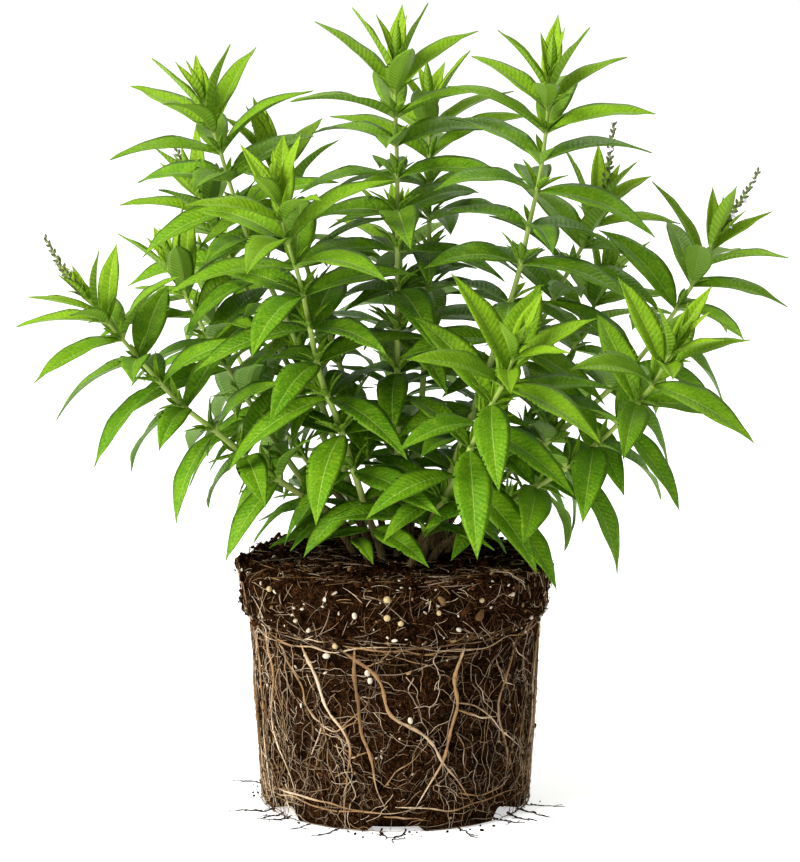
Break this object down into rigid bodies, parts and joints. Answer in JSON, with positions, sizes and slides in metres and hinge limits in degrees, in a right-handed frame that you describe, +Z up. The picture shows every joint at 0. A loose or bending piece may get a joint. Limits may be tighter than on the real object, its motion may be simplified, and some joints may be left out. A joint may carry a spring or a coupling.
{
  "type": "lemon verbena plant with bare root ball",
  "caption": "Bushy lemon verbena lifted from its pot: leafy arching stems stand in a pot-shaped root ball of dark soil and pale roots.",
  "frame": {"origin": "centre of the root ball's flat base", "axes": "+Z up, -Y towards the viewer, +X to the viewer's right"},
  "size_m": [0.4079, 0.311, 0.427],
  "materials": {
    "soil": "rough damp peat",
    "root": "matt pale root",
    "leaf": "satin fresh leaf"
  },
  "bodies": {
    "root": {"soil_ball": "soil", "root_net": "root", "leafy_stem_front_right": "leaf", "leafy_stem_front_left": "leaf", "leafy_stem_right": "leaf", "leafy_stem_left": "leaf", "leafy_stem_upper_right": "leaf", "leafy_stem_centre": "leaf", "leafy_stem_upper_left": "leaf", "leafy_stem_far_right": "leaf", "leafy_stem_mid_left": "leaf", "leafy_stem_behind_centre": "leaf", "leafy_stem_back_left": "leaf", "leafy_stem_back_right": "leaf", "leafy_stem_far_left": "leaf", "leafy_stem_rear_left": "leaf", "leafy_stem_rear_right": "leaf", "leafy_stem_rear": "leaf"}
  },
  "joints": []
}
